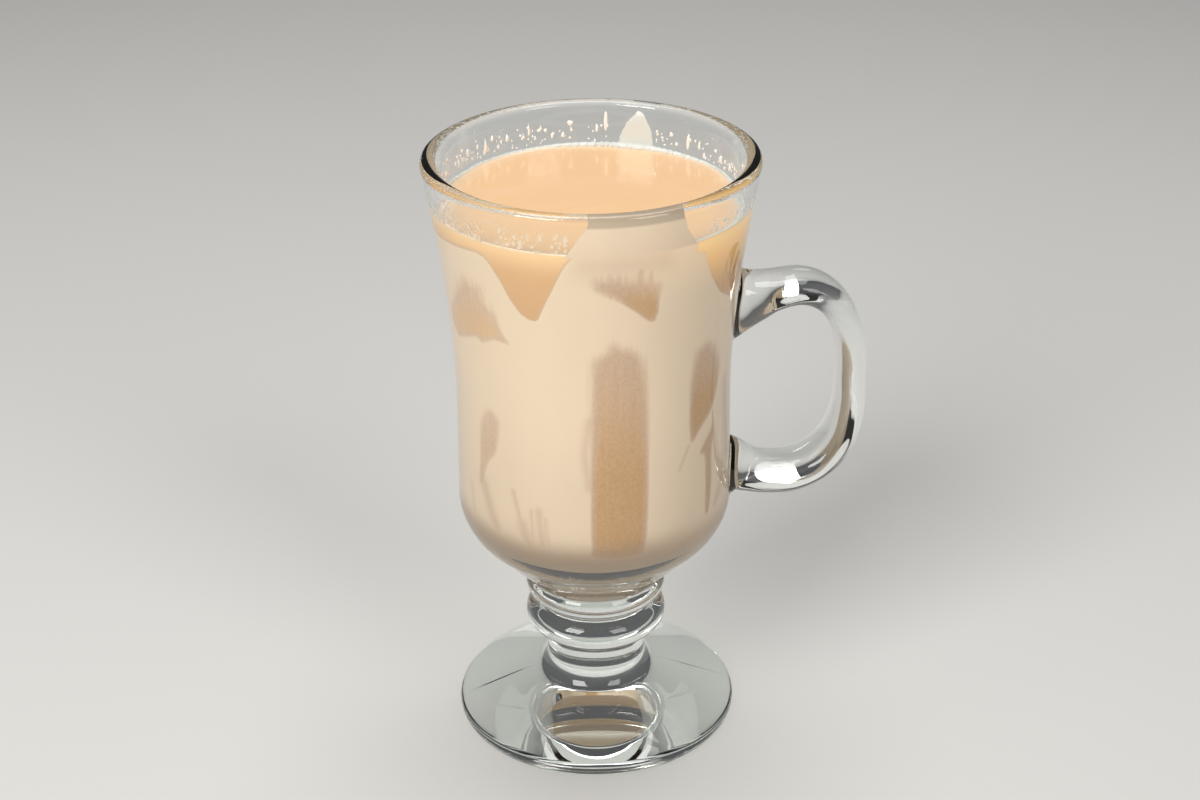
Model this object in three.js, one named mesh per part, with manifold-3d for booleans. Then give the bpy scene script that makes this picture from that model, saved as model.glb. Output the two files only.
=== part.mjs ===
// A footed glass mug of milky coffee, with poured cream still coating the inside of the glass.
// Millimetres, +Z up. The origin is the middle of the foot's underside and the handle points along +X.

import * as THREE from 'three';
import { ParametricGeometry } from 'three/addons/geometries/ParametricGeometry.js';
import { mergeVertices } from 'three/addons/utils/BufferGeometryUtils.js';
import Module from 'manifold-3d';

// Bowl of the glass
const RIM_RADIUS = 38;
const RIM_EDGE_Z = 144.2;
const WALL = 3;
const RIM_SWELL = 0.7;
const RIM_SWELL_Z = 132;
const RIM_ROUND = 1.5;
const WAIST_RADIUS = 32.05;
const WAIST_Z = 90;
const RIM_FLARE_POWER = 1.75;
const BELLY_RADIUS = 32.5;
const BELLY_Z = 61.5;
const BELLY_POWER = 1.6;
const SHOULDER_RADIUS = 15.5;
const SHOULDER_SLOPE = 52;
const CAVITY_TURN_Z = 66;
const CAVITY_FLOOR_Z = 51.5;
const CAVITY_SQUARENESS = 2.4;

// Stem: a rolled collar under the bowl, a ring below it and a plain neck
const COLLAR_RADIUS = 17;
const COLLAR_Z = 35.3;
const COLLAR_ROLL = 3.2;
const RING_RADIUS = 17.1;
const RING_Z = 26.9;
const RING_ROLL = 3.9;
const ROLL_OPENING = 80;
const COLLAR_TOP_OPENING = 50;
const NECK_RADIUS = 12;
const RING_FILLET = 1.2;

// Foot
const FOOT_RADIUS = 34.4;
const FOOT_EDGE = 3;
const FOOT_SLOPE = 22.5;
const FOOT_FILLET = 5;

// Handle: an oval bar whose two roots swell where they meet the bowl
const HANDLE_PATH = [
  [31.2, 108.5], [34, 108.5], [37.5, 109.1], [42, 110.3], [48, 111.1], [53.3, 109.3],
  [57.6, 104.9], [60.3, 97.5], [61.1, 88], [60.9, 79.5], [58.8, 71.5], [54, 65.5],
  [47.5, 62.6], [41, 62.6], [36.5, 63.8], [33.8, 64.8], [31.2, 65],
];
const HANDLE_TOP = { halfThickness: 4, halfWidth: 7, rootSwell: 5.8, swellLength: 15 };
const HANDLE_SIDE = { halfThickness: 3.5, halfWidth: 6.8 };
const HANDLE_FOOT = { halfThickness: 4.6, halfWidth: 7.7, rootSwell: 2.1, swellLength: 12 };
const HANDLE_SQUARENESS = 2.3;
const HANDLE_SIDES = 16;
const HANDLE_STEPS = 42;

// Drink and cream
const LEVEL_Z = 135.3;
const CREAM_THICKNESS = 1.2;
const GAP = 0.3;
const PAD_CLEARANCE = 0.45;

// Openings in the cream, where coffee touches the glass. Each outline is a list of
// [degrees from the front towards the handle, height].
const NOTCH_TOP = LEVEL_Z + 1.5;
const FRONT_WINDOWS = {
  pointedNotch: {
    outline: [[-49, NOTCH_TOP], [-48, 132], [-36, 121.5], [-29, 118.8], [-22, 123.5], [-12, NOTCH_TOP]],
  },
  bandUnderTheLevel: {
    outline: [[-92, NOTCH_TOP], [-92, 133.2], [-60, 133.2], [-47, 131], [-47, NOTCH_TOP]],
  },
  notchByTheHandle: {
    outline: [[36, NOTCH_TOP], [43, 127], [52, 120], [66, 116.5], [76, 121], [80, NOTCH_TOP]],
  },
  upperLeft: {
    outline: [[-61, 124.5], [-49, 118.5], [-41.6, 111.7], [-56, 109.8], [-76, 106.5], [-75, 117]],
  },
  wedge: {
    outline: [[-4.5, 131], [-4, 127.5], [13.6, 119.4], [19.6, 118.3], [19, 130.5], [11, 132]],
  },
  tall: {
    smooth: true,
    outline: [
      [3, 113.7], [-5.2, 104.6], [-8, 87], [-7, 70], [-5.5, 60],
      [14, 60], [17.6, 70], [16.8, 93.6], [14, 107.5],
    ],
  },
  leaf: {
    smooth: true,
    outline: [[51.5, 107.5], [41, 104], [39.2, 95], [40.5, 84], [54, 89], [57, 99]],
  },
  spindle: {
    smooth: true,
    outline: [[-55, 97], [-61.5, 88], [-60, 73], [-52, 82], [-50.7, 90]],
  },
};

// The unseen back carries streaks of the same kind, evenly spaced
const BACK_STREAKS = 4;
const BACK_FROM = 112;
const BACK_TO = 252;
const BACK_HALF_WIDTH = 7;
const BACK_TOP_Z = 110;
const BACK_FOOT_Z = 72;
const BACK_STAGGER = 9;
const STREAK_BULGE = 0.6;
const STREAK_TAPER = 0.25;

// Cream standing above the level: a broad tongue at the front and a pointed splash at the back
const TONGUE = [
  [-11, 134], [-11.4, 135.8], [-13.4, 136.9], [-6, 143.6], [27, 143.6], [29.4, 139.9], [33, 136.8], [34, 134],
];
const SPLASH = [[163, 134], [162, 139.4], [158.8, 141.9], [155, 143.8], [151.8, 142], [148.5, 134]];

// Facets
const TURNS = 44;
const WALL_STEPS = 7;
const FLOOR_STEPS = 5;
const ROLL_STEPS = 6;
const FILLET_STEPS = 4;
const EDGE_STEPS = 5;
const SMOOTH_POINTS = 14;
const MERGE_DISTANCE = 1e-4;
const PRISM_FROM = 6;
const PRISM_TO = 45;

const wasm = await Module();
wasm.setup();

const radians = THREE.MathUtils.degToRad;

// Outer radius of the bowl: a slight belly, a waist, then a flare towards the rim
function bowlRadius(z) {
  if (z >= WAIST_Z) {
    const rise = (z - WAIST_Z) / (RIM_EDGE_Z - WAIST_Z);
    return WAIST_RADIUS + (RIM_RADIUS - WAIST_RADIUS) * rise ** RIM_FLARE_POWER;
  }
  const drop = (WAIST_Z - z) / (WAIST_Z - BELLY_Z);
  return WAIST_RADIUS + (BELLY_RADIUS - WAIST_RADIUS) * drop ** BELLY_POWER;
}

// Inner radius of the bowl: parallel to the outside, a little closer in at the rim, closing to a rounded
// floor below the belly
function cavityRadius(z) {
  if (z >= CAVITY_TURN_Z) {
    const swell = RIM_SWELL * THREE.MathUtils.smoothstep(z, RIM_SWELL_Z, RIM_EDGE_Z);
    return bowlRadius(z) - WALL - swell;
  }
  const depth = (CAVITY_TURN_Z - z) / (CAVITY_TURN_Z - CAVITY_FLOOR_Z);
  const share = (1 - depth ** CAVITY_SQUARENESS) ** (1 / CAVITY_SQUARENESS);
  return share * cavityRadius(CAVITY_TURN_Z);
}

function arc(r, z, radius, fromDegrees, toDegrees, steps) {
  const points = [];
  for (let i = 0; i <= steps; i += 1) {
    const angle = radians(fromDegrees + ((toDegrees - fromDegrees) * i) / steps);
    points.push(new THREE.Vector2(r + radius * Math.cos(angle), z + radius * Math.sin(angle)));
  }
  return points;
}

// Outline of the cavity from its floor on the axis up to a height, moved in from the glass by an inset
function cavityOutline(inset, topZ) {
  const points = [];
  const reach = cavityRadius(CAVITY_TURN_Z) - inset;
  const depth = CAVITY_TURN_Z - CAVITY_FLOOR_Z - inset;
  for (let i = 0; i < FLOOR_STEPS; i += 1) {
    const angle = ((Math.PI / 2) * i) / FLOOR_STEPS;
    const out = Math.sin(angle) ** (2 / CAVITY_SQUARENESS);
    const down = Math.cos(angle) ** (2 / CAVITY_SQUARENESS);
    points.push(new THREE.Vector2(reach * out, CAVITY_TURN_Z - depth * down));
  }
  for (let i = 0; i <= WALL_STEPS; i += 1) {
    const z = CAVITY_TURN_Z + ((topZ - CAVITY_TURN_Z) * i) / WALL_STEPS;
    points.push(new THREE.Vector2(cavityRadius(z) - inset, z));
  }
  return points;
}

// Foot: flat underside, rounded edge, sloping top and a hollow fillet up to the neck
function footOutline() {
  const edge = FOOT_EDGE / 2;
  const normal = 90 - FOOT_SLOPE;
  const rounded = arc(FOOT_RADIUS - edge, edge, edge, -90, normal, EDGE_STEPS);
  const slopeStart = rounded[EDGE_STEPS];
  const across = Math.cos(radians(normal));
  const upward = Math.sin(radians(normal));
  const filletR = NECK_RADIUS + FOOT_FILLET;
  const filletZ = slopeStart.y + (FOOT_FILLET - across * (filletR - slopeStart.x)) / upward;
  const fillet = arc(filletR, filletZ, FOOT_FILLET, 180 + normal, 180, FILLET_STEPS);
  return [new THREE.Vector2(0, 0), ...rounded, ...fillet];
}

// Stem: fillet under the ring, then the ring and the collar as two rolls
function stemOutline() {
  const ringR = RING_RADIUS - RING_ROLL;
  const filletZ = RING_Z - RING_ROLL - RING_FILLET;
  const fillet = arc(NECK_RADIUS + RING_FILLET, filletZ, RING_FILLET, 180, 90, FILLET_STEPS);
  const ring = arc(ringR, RING_Z, RING_ROLL, -90, ROLL_OPENING, ROLL_STEPS);
  const collarR = COLLAR_RADIUS - COLLAR_ROLL;
  const collar = arc(collarR, COLLAR_Z, COLLAR_ROLL, -ROLL_OPENING, COLLAR_TOP_OPENING, ROLL_STEPS);
  return [...fillet, ...ring.slice(1), ...collar];
}

// Bowl: rounded shoulder, outer wall, rounded rim and the cavity back down to the axis
function bowlOutline() {
  const shoulderR = BELLY_RADIUS - SHOULDER_RADIUS;
  const shoulder = arc(shoulderR, BELLY_Z, SHOULDER_RADIUS, -SHOULDER_SLOPE, 0, ROLL_STEPS);
  const wall = [];
  for (let i = 1; i < WALL_STEPS; i += 1) {
    const z = BELLY_Z + ((RIM_EDGE_Z - BELLY_Z) * i) / WALL_STEPS;
    wall.push(new THREE.Vector2(bowlRadius(z), z));
  }
  const half = (WALL + RIM_SWELL) / 2;
  const squash = new THREE.Vector2(half, RIM_ROUND);
  const middle = new THREE.Vector2(RIM_RADIUS - half, RIM_EDGE_Z);
  const rim = arc(0, 0, 1, 0, 180, EDGE_STEPS).map((point) => point.multiply(squash).add(middle));
  const inside = cavityOutline(0, RIM_EDGE_Z).reverse();
  return [...shoulder, ...wall, ...rim, ...inside.slice(1)];
}

// A closed solid from any closed geometry
function solid(geometry) {
  const bare = geometry.clone();
  bare.deleteAttribute('normal');
  bare.deleteAttribute('uv');
  const merged = mergeVertices(bare, MERGE_DISTANCE);
  const corners = merged.index.array;
  const triangles = [];
  for (let i = 0; i < corners.length; i += 3) {
    const [a, b, c] = corners.slice(i, i + 3);
    if (a !== b && b !== c && c !== a) {
      triangles.push(a, b, c);
    }
  }
  const vertProperties = merged.attributes.position.array;
  const triVerts = new Uint32Array(triangles);
  return new wasm.Manifold(new wasm.Mesh({ numProp: 3, vertProperties, triVerts }));
}

function turned(outline) {
  return solid(new THREE.LatheGeometry(outline, TURNS).rotateX(Math.PI / 2));
}

// The cavity filled up to a height, kept clear of the glass by an inset
function filled(inset, topZ) {
  return turned([...cavityOutline(inset, topZ), new THREE.Vector2(0, topZ)]);
}

// Corners of an outline on the wall, flattened onto the plane that faces its middle
function flatCorners(outline) {
  const angles = outline.map(([degrees]) => degrees);
  const middle = (Math.min(...angles) + Math.max(...angles)) / 2;
  const corners = outline.map(([degrees, z]) => {
    const across = cavityRadius(z) * Math.sin(radians(degrees - middle));
    return new THREE.Vector3(across, z, 0);
  });
  return { middle: radians(middle), corners };
}

// A radial prism through the wall with the given outline, drawn in from its sides by a clearance
function wallPrism({ outline, smooth = false }, clearance = 0) {
  const { middle, corners } = flatCorners(outline);
  const box = new THREE.Box3().setFromPoints(corners);
  const centre = box.getCenter(new THREE.Vector3());
  const size = box.getSize(new THREE.Vector3());
  const shrink = new THREE.Vector3(1 - (2 * clearance) / size.x, 1 - (2 * clearance) / size.y, 1);
  corners.forEach((corner) => corner.sub(centre).multiply(shrink).add(centre));
  const curve = new THREE.CatmullRomCurve3(corners, true);
  const loop = smooth ? curve.getPoints(SMOOTH_POINTS).slice(1) : corners;
  const shape = new THREE.Shape(loop.map(({ x, y }) => new THREE.Vector2(x, y)));
  const prism = new THREE.ExtrudeGeometry(shape, { depth: PRISM_TO - PRISM_FROM, bevelEnabled: false });
  const tangent = new THREE.Vector3(Math.cos(middle), Math.sin(middle), 0);
  const outward = new THREE.Vector3(Math.sin(middle), -Math.cos(middle), 0);
  const up = new THREE.Vector3(0, 0, 1);
  prism.translate(0, 0, PRISM_FROM);
  prism.applyMatrix4(new THREE.Matrix4().makeBasis(tangent, up, outward));
  return solid(prism);
}

function backStreak(index) {
  const middle = BACK_FROM + ((BACK_TO - BACK_FROM) * index) / (BACK_STREAKS - 1);
  const shift = index % 2 === 0 ? BACK_STAGGER : -BACK_STAGGER;
  const top = BACK_TOP_Z + shift;
  const foot = BACK_FOOT_Z + shift;
  const bulge = foot + (top - foot) * STREAK_BULGE;
  const taper = foot + (top - foot) * STREAK_TAPER;
  const width = BACK_HALF_WIDTH;
  const outline = [
    [middle, top],
    [middle - width, bulge],
    [middle - width / 2, taper],
    [middle + width / 4, foot],
    [middle + width / 2, taper],
    [middle + width, bulge],
  ];
  return { smooth: true, outline };
}

// Oval bar along the handle's path; both ends close inside the wall of the bowl
function handleBar() {
  const path = new THREE.CatmullRomCurve3(HANDLE_PATH.map(([x, z]) => new THREE.Vector3(x, 0, z)));
  const length = path.getLength();
  const along = (key, t) => {
    const { lerp } = THREE.MathUtils;
    const half = 2 * t;
    return half < 1
      ? lerp(HANDLE_TOP[key], HANDLE_SIDE[key], half)
      : lerp(HANDLE_SIDE[key], HANDLE_FOOT[key], half - 1);
  };
  const swell = ({ rootSwell, swellLength }, distance) => {
    const nearness = Math.max(0, 1 - distance / swellLength);
    return rootSwell * nearness ** 2;
  };
  const rounded = (value) => Math.sign(value) * Math.abs(value) ** (2 / HANDLE_SQUARENESS);
  const surface = (u, v, target) => {
    const step = Math.round(v * HANDLE_STEPS);
    const t = THREE.MathUtils.clamp((step - 1) / (HANDLE_STEPS - 2), 0, 1);
    const open = step > 0 && step < HANDLE_STEPS ? 1 : 0;
    const swollen = swell(HANDLE_TOP, t * length) + swell(HANDLE_FOOT, (1 - t) * length);
    const round = 2 * Math.PI * (0.5 / HANDLE_SIDES - u);
    const thick = (along('halfThickness', t) + swollen) * open * rounded(Math.cos(round));
    const wide = along('halfWidth', t) * open * rounded(Math.sin(round));
    const { x: runX, z: runZ } = path.getTangentAt(t);
    path.getPointAt(t, target);
    target.add(new THREE.Vector3(-runZ * thick, wide, runX * thick));
  };
  return solid(new ParametricGeometry(surface, HANDLE_SIDES, HANDLE_STEPS));
}

function glassMug() {
  const body = turned([...footOutline(), ...stemOutline(), ...bowlOutline()]);
  return body.add(handleBar());
}

// A thin coat on the inside wall, with its windows cut out and its two splashes above the level
function creamCoat(windows) {
  const inner = GAP + CREAM_THICKNESS;
  const below = filled(GAP, LEVEL_Z).subtract(filled(inner, LEVEL_Z + GAP));
  const pierced = windows.reduce((coat, window) => coat.subtract(wallPrism(window)), below);
  const above = filled(GAP, RIM_EDGE_Z).subtract(filled(inner, RIM_EDGE_Z + GAP));
  const tongue = above.intersect(wallPrism({ outline: TONGUE }));
  const splash = above.intersect(wallPrism({ outline: SPLASH }));
  return pierced.add(tongue).add(splash);
}

// The drink inside the coat, bulging through each window to the glass
function coffeeFill(windows) {
  const core = filled(GAP + CREAM_THICKNESS + GAP, LEVEL_Z);
  const whole = filled(GAP, LEVEL_Z);
  const pad = (window) => whole.intersect(wallPrism(window, PAD_CLEARANCE));
  return windows.reduce((drink, window) => drink.add(pad(window)), core);
}

function mesh(name, body, colour, roughness) {
  const { vertProperties, triVerts } = body.getMesh();
  const geometry = new THREE.BufferGeometry();
  geometry.setAttribute('position', new THREE.BufferAttribute(vertProperties, 3));
  geometry.setIndex(new THREE.BufferAttribute(triVerts, 1));
  geometry.computeVertexNormals();
  const material = new THREE.MeshStandardMaterial({ color: colour, roughness, metalness: 0 });
  const node = new THREE.Mesh(geometry, material);
  node.name = name;
  return node;
}

const windows = Object.values(FRONT_WINDOWS);
for (let i = 0; i < BACK_STREAKS; i += 1) {
  windows.push(backStreak(i));
}

const mug = new THREE.Group();
mug.add(mesh('glass_mug', glassMug(), 0xe8efee, 0.03));
mug.add(mesh('coffee', coffeeFill(windows), 0xe6b988, 0.25));
mug.add(mesh('cream_coat', creamCoat(windows), 0xeedcc0, 0.3));

export default mug;
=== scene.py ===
"""A footed glass mug of milky coffee, with poured cream on the inside of its wall."""

import math
from typing import NamedTuple

import bpy
import numpy as np
from mathutils import Matrix, Vector


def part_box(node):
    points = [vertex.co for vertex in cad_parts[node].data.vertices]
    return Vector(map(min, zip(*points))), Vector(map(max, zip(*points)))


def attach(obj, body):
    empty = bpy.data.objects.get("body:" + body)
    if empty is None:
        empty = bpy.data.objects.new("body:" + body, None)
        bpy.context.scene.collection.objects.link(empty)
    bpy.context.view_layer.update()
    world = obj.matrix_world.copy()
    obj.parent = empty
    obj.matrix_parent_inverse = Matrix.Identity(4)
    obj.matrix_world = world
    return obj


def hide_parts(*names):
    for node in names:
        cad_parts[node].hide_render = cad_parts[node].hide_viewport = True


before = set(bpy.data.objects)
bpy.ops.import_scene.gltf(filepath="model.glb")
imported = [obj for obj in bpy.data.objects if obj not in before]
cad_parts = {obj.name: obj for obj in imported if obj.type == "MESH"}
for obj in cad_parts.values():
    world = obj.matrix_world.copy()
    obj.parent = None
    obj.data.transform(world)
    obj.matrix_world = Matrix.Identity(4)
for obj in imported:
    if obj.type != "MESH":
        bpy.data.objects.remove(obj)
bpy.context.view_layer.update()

bl_info = {
    "name": "Footed mug of milky coffee",
    "version": (1, 0, 0),
    "blender": (4, 5, 0),
    "location": "3D View > Sidebar > Mug",
    "description": "Builds the glass, the drink, the cream on its wall and a plain studio",
    "category": "Object",
}

MM = 0.001
_, GLASS_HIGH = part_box("glass_mug")
_, DRINK_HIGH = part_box("coffee")
CREAM_LOW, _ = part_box("cream_coat")
SOLID_GAP = 0.3 * MM

# Bowl of the glass, in metres
BELLY_HEIGHT = 61.5 * MM
BELLY_POWER = 1.6
FLARE_POWER = 1.75
SHOULDER_RADIUS = 15.5 * MM
SHOULDER_SLOPE = 52
CAVITY_TURN = 66 * MM
CAVITY_SQUARENESS = 2.4
RIM_SWELL = 0.7 * MM
RIM_SWELL_FROM = 132 * MM
RIM_ROUND = 1.5 * MM
RIM_SQUARENESS = 2.5

# Stem: a rolled collar under the bowl, a ring below it and a plain neck
COLLAR_HEIGHT = 35.3 * MM
COLLAR_ROLL = 3.2 * MM
COLLAR_TOP_OPENING = 50
RING_HEIGHT = 26.9 * MM
RING_ROLL = 3.9 * MM
RING_FILLET = 1.2 * MM
ROLL_OPENING = 80

# Foot, with a fine ridge where the halves of the mould met
FOOT_EDGE = 3 * MM
FOOT_SLOPE = 22.5
FOOT_FILLET = 5 * MM
SEAM_HEIGHT = 0.16 * MM
SEAM_HALF_WIDTH = 0.35 * MM
SEAM_FADE = 2.5 * MM
SEAM_OFFSETS = (-1.6, -1.1, -0.7, -0.4, -0.15, 0.15, 0.4, 0.7, 1.1, 1.6)

# Handle: an oval bar; each path point is (away from the axis, up) in millimetres
HANDLE_PATH = (
    (31.2, 108.5), (34, 108.5), (37.5, 109.1), (42, 110.3), (48, 111.1), (53.3, 109.3),
    (57.6, 104.9), (60.3, 97.5), (61.1, 88), (60.9, 79.5), (58.8, 71.5), (54, 65.5),
    (47.5, 62.6), (41, 62.6), (36.5, 63.8), (33.8, 64.8), (30.7, 65),
)
HANDLE_HALF_THICKNESS = (4 * MM, 3.5 * MM, 4.6 * MM)
HANDLE_HALF_WIDTH = (7 * MM, 6.8 * MM, 7.7 * MM)
HANDLE_SWELL = (5.8 * MM, 2.1 * MM)
HANDLE_SWELL_LENGTH = (15 * MM, 12 * MM)
HANDLE_FILLET = 1.6 * MM
HANDLE_FILLET_LENGTH = 4.5 * MM
HANDLE_SQUARENESS = 2.3

# Fineness of the meshes
ARC_STEPS = 40
OUTLINE_ROWS = 120
RIM_STEPS = 60
CURVE_STEPS = 40
WINDOW_CURVE_STEPS = 6
OUTLINE_STEP = 0.2 * MM
OUTLINE_BLUR = 0.35 * MM
BLUR_REACH = 4
LONGEST_FACE = 3 * MM
SHARPEST_TURN = math.radians(7)
GLASS_COLUMNS = 220
HANDLE_SIDES = 56
HANDLE_STEPS = 150
FINE_FROM, FINE_TO = -100, 100
FINE_COLUMNS = 186
COARSE_COLUMNS = 80
FLOOR_ROWS = 26
WALL_ROWS = 128
TOP_ROWS = 44
TOP_CROWDING = 0.6
SHARP_ANGLE = math.radians(38)

# How the drink meets the glass: both liquids reach a little into the wall, the cream further
CREAM_REACH = 0.12 * MM
COFFEE_REACH = 0.1 * MM
COAT_SINK = 1.0 * MM
COAT_SINK_RUN = 3.0 * MM
COAT_SINK_POWER = 3
COAT_HOLE_DEPTH = 2.4 * MM
COFFEE_RISE_FROM = -2.0 * MM
COFFEE_RISE_TO = -0.9 * MM
LIQUID_OVERLAP = 0.1 * MM
MENISCUS = 0.5 * MM
MENISCUS_RUN = 1.6 * MM

# What the wall's pattern gives each point, and how a window's edge is blurred, veiled and broken up
LOOKS = ("opening", "ragged", "veil", "deep", "thin")
FARTHEST = 8.0
FAR_OUTSIDE = -30.0
UPPER_PART = 0.35
RAGGED_LOW_DOWN = 0.35
EDGE_VEIL = 0.8
EDGE_VEIL_FROM, EDGE_VEIL_TO = 0.5, 3

# How the liquids' colours change against the glass, as painted light and shade; SHADES are painted shade as
# (height from, height to, darkening)
# Painted shade: below these heights the coffee takes on part of its shaded colour, less and less up to the
# upper one
GLOW_FROM, GLOW_TO = 116 * MM, 138 * MM
SHADED_SHARE = 0.55
# Painted light: coffee near the level is painted lighter, as if lit through the drink's surface
LIT_BAND_FROM, LIT_BAND_TO = 129 * MM, 136.5 * MM
LIT_BAND_LIGHT = 0.05
# Painted shade: towards the cavity's floor, lower down the wall, and on the film's top under the rim
SHADES = ((62 * MM, 50 * MM, 0.2), (105 * MM, 60 * MM, 0.12), (142 * MM, 142.8 * MM, 0.35))
STREAK_REACH = 6.0
STREAK_SHADE = 0.8
GRAIN_SHADE = 0.26
CLOUD_SHADE = 0.06

# Painted glow: the liquids emit warm light under their level at the handle's side, standing in for light that
# comes down through the drink
AMBER_FROM, AMBER_TO = 121 * MM, 132 * MM
AMBER_RUN = 20 * MM
AMBER_END = 0.6 * MM
AMBER_THROUGH_CREAM = 0.35
AMBER_STRENGTH = 0.27
BLACK = (0, 0, 0, 1)

# Waves per metre of the noise in each finish
STREAK_WAVES = (1000, 1000, 30)
GRAIN_WAVES = (1900, 1900, 1300)
CLOUD_WAVES = (90, 90, 28)
SWIRL_WAVES = (45, 80, 60)
FROTH_WAVES = (1300, 1300, 1300)
RIPPLE_WAVES = (70, 70, 50)
FLOOR_WAVES = (6, 6, 6)
SPLASH_BUBBLES, FOAM_BUBBLES, DROP_BUBBLES = 700, 1500, 900

# Share of cream in the drink's swirls and of foam at its edge; where froth, painted by its side to the key
# light, takes on its back colour
SWIRL_CREAM = 0.7
SHORE_FROTH, SHORE_MOST = 1.3, 0.8
FROTH_FROM, FROTH_TO = -35 * MM, -10 * MM
FLOOR_MOTTLE = 0.97


class Window(NamedTuple):
    """An opening in the cream.

    corners are (degrees from the front towards the handle, millimetres up); edge and top_edge are the
    half widths of its blurred edge in millimetres, low down and at its top; ragged is how far streaks
    break up its top, in edge widths; most limits how far it opens, in edge widths; veil is how much thin
    cream hangs over the coffee, low down and at the top; deep is 1 where no light from above gets in,
    and there the coffee takes on painted shade.
    """

    corners: tuple
    smooth: bool = False
    edge: float = 0.16
    top_edge: float = 0.16
    ragged: float = 0.0
    most: float = FARTHEST
    veil: tuple = (0.0, 0.0)
    deep: float = 0.0


NOTCH_TOP = 137.0
WINDOWS = (
    Window((
        (-51, NOTCH_TOP), (-48.3, 132.7), (-45.3, 130.9), (-41.1, 127), (-37.9, 123.2), (-33.9, 120.1),
        (-30.7, 119), (-28.1, 118.8), (-26.6, 119.4), (-23.6, 123.3), (-20.5, 126.9), (-16.7, 131.7),
        (-14.7, 133.7), (-12.3, 135.4), (-11, NOTCH_TOP),
    )),
    Window(
        (
            (-112, NOTCH_TOP), (-108, 134.2), (-100, 132), (-92, 131), (-81.7, 130.9), (-72.4, 131.3),
            (-61.6, 132), (-51.4, 132.7), (-46, 132), (-46, NOTCH_TOP),
        ),
        edge=0.3, top_edge=0.3,
    ),
    Window((
        (34.3, NOTCH_TOP), (34.6, 133), (38.4, 132.6), (41.3, 129.1), (45.4, 124.9), (50.6, 121),
        (53.7, 119.4), (60, 117.2), (66, 116), (70.5, 116.6), (75, 119.6), (79, 124.6), (83, 130.6),
        (87, NOTCH_TOP),
    )),
    Window(
        (
            (-62.3, 123.2), (-53.8, 123.2), (-52.9, 119.9), (-46.7, 117.8), (-44.6, 114.4),
            (-40.6, 111.5), (-48.2, 111.6), (-55.9, 109.5), (-59.4, 110.3), (-75.1, 106.8),
            (-80.7, 109.1), (-80.5, 112.7), (-71.1, 118.4),
        ),
        edge=0.6, top_edge=3.4, ragged=0.3, most=0.3, veil=(0.0, 0.6), deep=0.5,
    ),
    Window(
        (
            (-4.3, 129.6), (-4.4, 127.8), (4.8, 124.2), (10.7, 121.5), (16.5, 118.6), (18.9, 118.4),
            (20.1, 120.8), (19.9, 127), (14, 129), (8, 129.2), (2, 129.8),
        ),
        edge=0.35, top_edge=2.0, ragged=0.45, veil=(0.1, 0.95), deep=1.0,
    ),
    Window(
        (
            (-5.1, 108.8), (-2.6, 110.6), (0.2, 111.8), (2.6, 113.5), (5.5, 112.5), (9.3, 111.8),
            (12.3, 110.5), (14.4, 108.8), (15.9, 105), (16.9, 100.7), (17.7, 94.3), (18, 82),
            (17.6, 70.5), (16.4, 60.3), (14.5, 58.6), (-5, 58.9), (-6.8, 63), (-6.9, 74.7),
            (-6.5, 89.9), (-6.2, 102),
        ),
        smooth=True, edge=0.5, top_edge=2.0, ragged=0.25, veil=(0.0, 0.9), deep=1.0,
    ),
    Window(
        (
            (55.4, 88.3), (54.1, 84.9), (47.8, 81.6), (46.2, 80.1), (49.3, 78.6), (50, 71.9),
            (49.7, 64.3), (52.3, 63.4), (54.4, 70.8), (54.5, 78.4), (56.3, 83.3),
        ),
        smooth=True, edge=0.5, top_edge=0.8, ragged=0.2, veil=(0.2, 0.7), deep=1.0,
    ),
    Window(
        (
            (51, 107.4), (58.8, 100.7), (58.4, 94.7), (53.7, 89.6), (46.6, 86.7), (41, 84.2),
            (39.5, 86.9), (39.1, 93.6), (39.5, 100.9), (41.8, 106.5), (46.5, 107.8),
        ),
        smooth=True, edge=0.5, top_edge=2.2, ragged=0.2, veil=(0.0, 0.9), deep=1.0,
    ),
    Window(
        (
            (-54.8, 91.8), (-50.7, 90), (-51, 86.6), (-52.4, 82.1), (-57.6, 78.1), (-61.6, 72.4),
            (-63.1, 73.1), (-62.3, 78.6), (-61.1, 87.1), (-58.5, 90.1),
        ),
        smooth=True, edge=0.7, top_edge=1.8, ragged=0.2, most=0.25, veil=(0.45, 1.0), deep=1.0,
    ),
)

# Streaks on the side away from the front, evenly spaced
BACK_STREAKS = 4
BACK_FROM, BACK_TO = 112, 252
BACK_HALF_WIDTH = 7
BACK_TOP, BACK_FOOT, BACK_STAGGER = 110, 72, 9
STREAK_BULGE, STREAK_TAPER = 0.6, 0.25

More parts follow.
